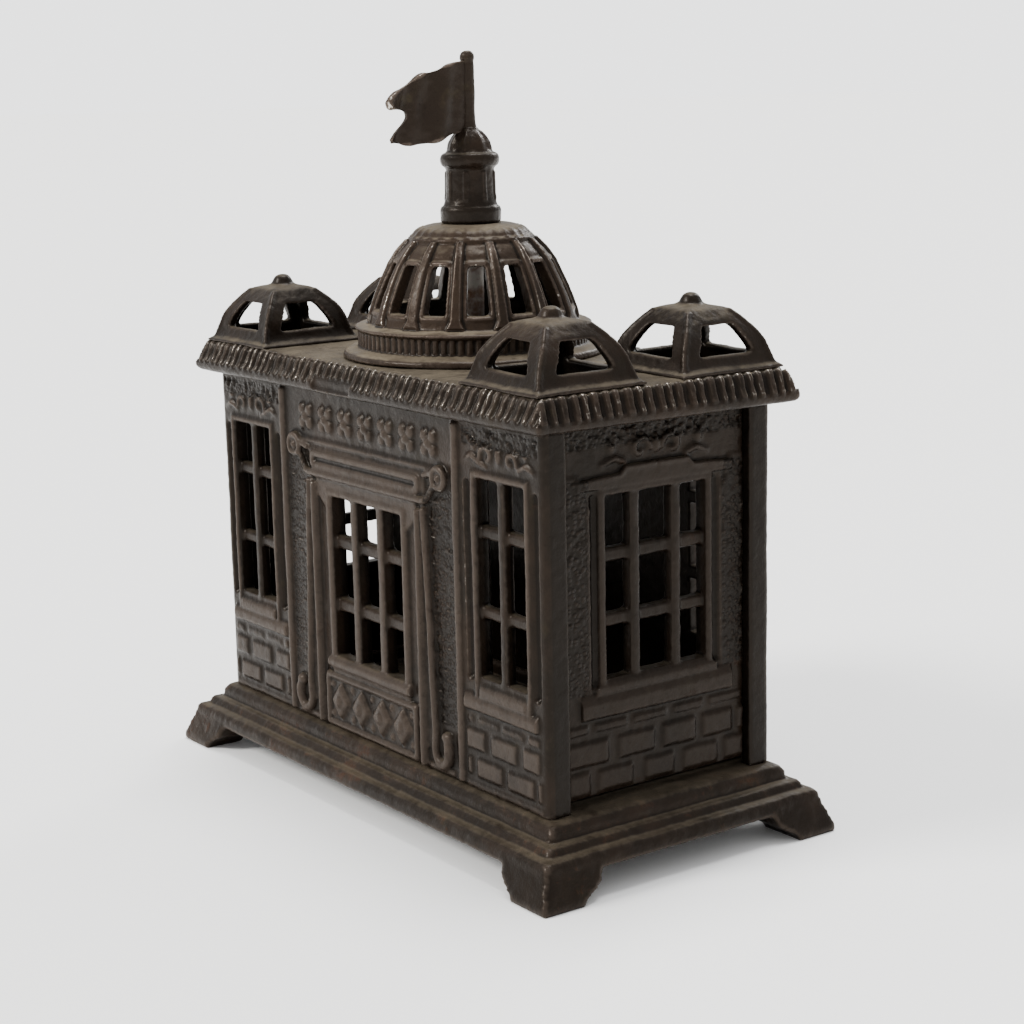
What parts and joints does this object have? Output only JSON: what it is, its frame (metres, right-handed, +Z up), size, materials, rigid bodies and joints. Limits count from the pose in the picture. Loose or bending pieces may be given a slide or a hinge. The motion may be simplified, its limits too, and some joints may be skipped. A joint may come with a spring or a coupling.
{
  "type": "cast iron still bank",
  "caption": "Cast iron coin bank shaped as a domed public building on bracket feet, with barred windows, corner cupolas, a flag finial and a coin slot at the back.",
  "frame": {"origin": "on the surface the bank stands on, under the middle of its base", "axes": "+Z up, -Y out of the long front with the door, +X out of the right end wall"},
  "size_m": [0.12, 0.0624, 0.1322],
  "materials": {
    "aged_iron": "dark brown-black japanned iron, dusty on the ledges, worn to taupe grey on high spots",
    "rusty_iron": "dark brown japanned iron with rust on the feet and fascia",
    "steel": "dull steel screw with an oxidised slotted head"
  },
  "bodies": {
    "bank_body": {"base_plinth": "rusty_iron", "front_wall": "aged_iron", "back_wall": "aged_iron", "right_end_wall": "aged_iron", "left_end_wall": "aged_iron"},
    "roof_assembly": {"roof": "aged_iron", "main_dome": "aged_iron", "front_left_cupola": "aged_iron", "front_right_cupola": "aged_iron", "back_left_cupola": "aged_iron", "back_right_cupola": "aged_iron"},
    "finial": {"lantern": "aged_iron", "flag": "aged_iron"},
    "screw": {"tie_screw": "steel"}
  },
  "joints": [
    {"name": "roof_lift", "type": "slide", "parent": "bank_body", "child": "roof_assembly", "axis": [0, 0, 1], "range_m": [0, 0.05]},
    {"name": "finial_turn", "type": "hinge", "parent": "roof_assembly", "child": "finial", "pos_m": [0, 0, 0.1026], "axis": [0, 0, 1], "continuous": true},
    {"name": "tie_screw_turn", "type": "hinge", "parent": "bank_body", "child": "screw", "pos_m": [0, 0, 0.0059], "axis": [0, 0, 1], "continuous": true}
  ]
}
